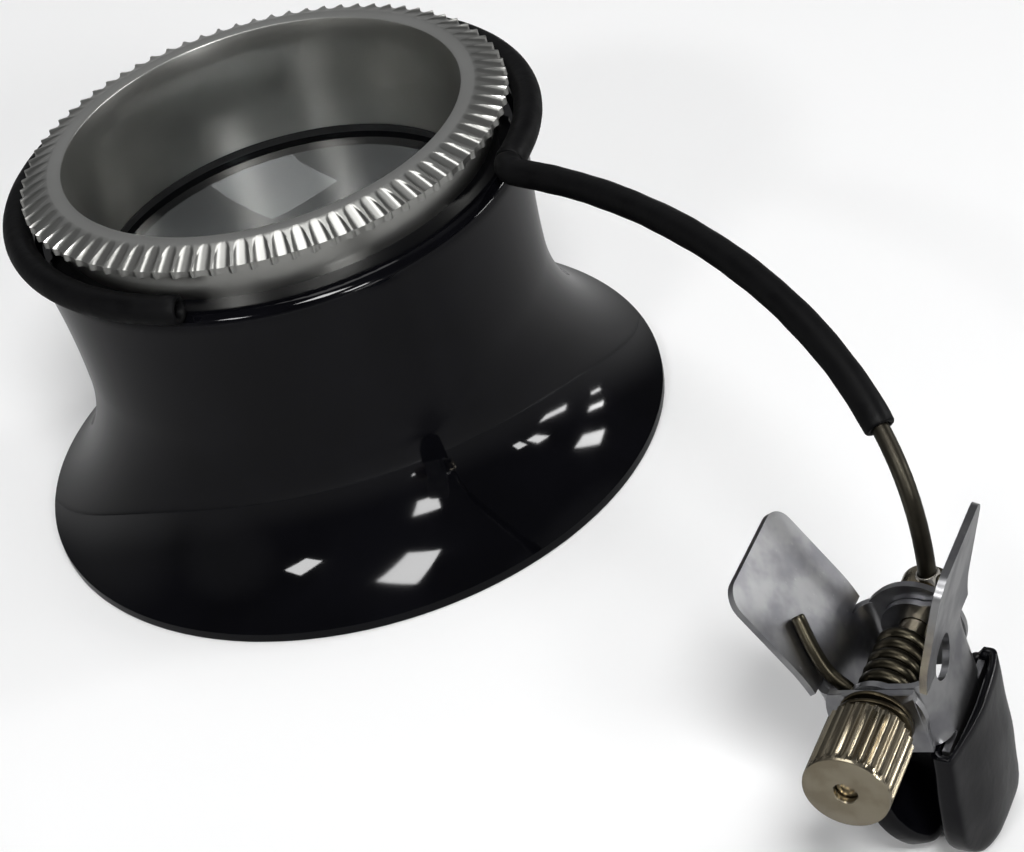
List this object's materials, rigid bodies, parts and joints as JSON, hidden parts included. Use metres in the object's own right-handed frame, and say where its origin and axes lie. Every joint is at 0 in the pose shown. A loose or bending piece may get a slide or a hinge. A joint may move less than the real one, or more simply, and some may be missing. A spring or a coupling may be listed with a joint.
{
  "type": "clip-on eye loupe",
  "caption": "Eye loupe: a flared black cup holds a lens under a knurled ring, and a sprung clip hangs on a sleeved wire that loops round the ring.",
  "frame": {"origin": "centre of the cup's open mouth, in the plane of the rim that the part stands on", "axes": "+Z along the lens axis from the eye to the work, +X to the clip's side, -Y towards the clip"},
  "size_m": [0.0521, 0.0722, 0.0231],
  "materials": {
    "cup": "polished black moulded plastic",
    "lens": "clear polished optical glass",
    "gasket": "black flat rubber ring",
    "ring": "turned bright metal with a coarse knurl",
    "wire": "drawn spring wire, dull",
    "sleeve": "black flexible plastic sleeve",
    "plated": "nickel plate, bright",
    "washer": "nickel over brass, warm and worn",
    "leaf": "stamped spring steel, bright",
    "boot": "glossy black soft plastic boot",
    "spring": "drawn spring wire"
  },
  "bodies": {
    "eyepiece": {"eye_cup": "cup", "lens": "lens"},
    "ring_carrier": {"lens_gasket": "gasket"},
    "ring": {"lens_ring": "ring"},
    "hanger": {"spring_wire": "wire", "loop_sleeve": "sleeve", "arm_sleeve": "sleeve", "wire_ferrule": "plated", "clip_pin": "plated", "rear_washer": "washer", "inner_washer": "washer", "curved_washer": "washer"},
    "left_jaw": {"left_leaf": "leaf", "left_jaw_boot": "boot", "torsion_spring": "spring"},
    "right_jaw": {"right_leaf": "leaf", "right_jaw_boot": "boot"},
    "nut_carrier": {"outer_washer": "washer"},
    "nut": {"thumb_nut": "plated"}
  },
  "joints": [
    {"name": "ring_rise", "type": "slide", "parent": "eyepiece", "child": "ring_carrier", "axis": [0, 0, 1], "range_m": [0, 0.00263]},
    {"name": "ring_turn", "type": "hinge", "parent": "ring_carrier", "child": "ring", "pos_m": [0, 0, 0.0195], "axis": [0, 0, 1], "range_deg": [0, 1260]},
    {"name": "loop_turn", "type": "hinge", "parent": "eyepiece", "child": "hanger", "pos_m": [0, 0, 0.02055], "axis": [0, 0, 1], "continuous": true},
    {"name": "clip_swing", "type": "hinge", "parent": "hanger", "child": "left_jaw", "pos_m": [0.0275, -0.04425, 0.0106], "axis": [0.4617, 0.887, 0], "continuous": true},
    {"name": "jaw_open", "type": "hinge", "parent": "left_jaw", "child": "right_jaw", "pos_m": [0.0275, -0.04425, 0.0106], "axis": [-0.4617, -0.887, 0], "range_deg": [0, 32], "stiffness_Nm_per_rad": 0.00015, "springref_deg": -28.65, "deforming": ["torsion_spring"]},
    {"name": "nut_travel", "type": "slide", "parent": "hanger", "child": "nut_carrier", "axis": [-0.4617, -0.887, 0], "range_m": [0, 0.0007]},
    {"name": "nut_turn", "type": "hinge", "parent": "nut_carrier", "child": "nut", "pos_m": [0.02454, -0.04993, 0.0106], "axis": [-0.4617, -0.887, 0], "range_deg": [0, 720]}
  ],
  "couplings": [
    {"joint": "ring_turn", "follows": "ring_rise", "rad_per_m": 8377.6},
    {"joint": "nut_turn", "follows": "nut_travel", "rad_per_m": 17952}
  ]
}
